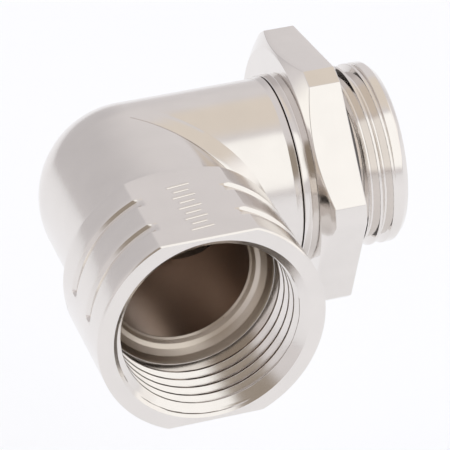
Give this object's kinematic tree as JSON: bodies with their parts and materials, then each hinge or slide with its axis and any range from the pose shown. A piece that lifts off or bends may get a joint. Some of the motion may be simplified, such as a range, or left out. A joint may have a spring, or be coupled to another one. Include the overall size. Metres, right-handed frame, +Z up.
{
  "type": "swivel elbow cable gland body",
  "caption": "Right-angle metal gland elbow with a threaded collar, a swivelling hexagon connector with a male thread, and internal seals.",
  "frame": {"origin": "centre of the hexagon's sealing face on the swivel axis, where the part meets an enclosure wall", "axes": "+X along the male thread, pointing into the enclosure; -Y along the threaded female bore, pointing out of its mouth; +Z up, square to the collar's two wrench flats"},
  "size_m": [0.0397, 0.0429, 0.0284],
  "materials": {
    "nickel": "bright nickel plate on brass",
    "seal_rubber": "matt black nitrile",
    "spring_steel": "drawn wire"
  },
  "bodies": {
    "connector_body": {"connector": "nickel", "flange_oring": "seal_rubber", "swivel_oring": "seal_rubber"},
    "elbow": {"elbow_body": "nickel", "snap_ring": "spring_steel"}
  },
  "joints": [
    {"name": "swivel", "type": "hinge", "parent": "connector_body", "child": "elbow", "pos_m": [-0.01, 0, 0], "axis": [1, 0, 0], "continuous": true}
  ]
}
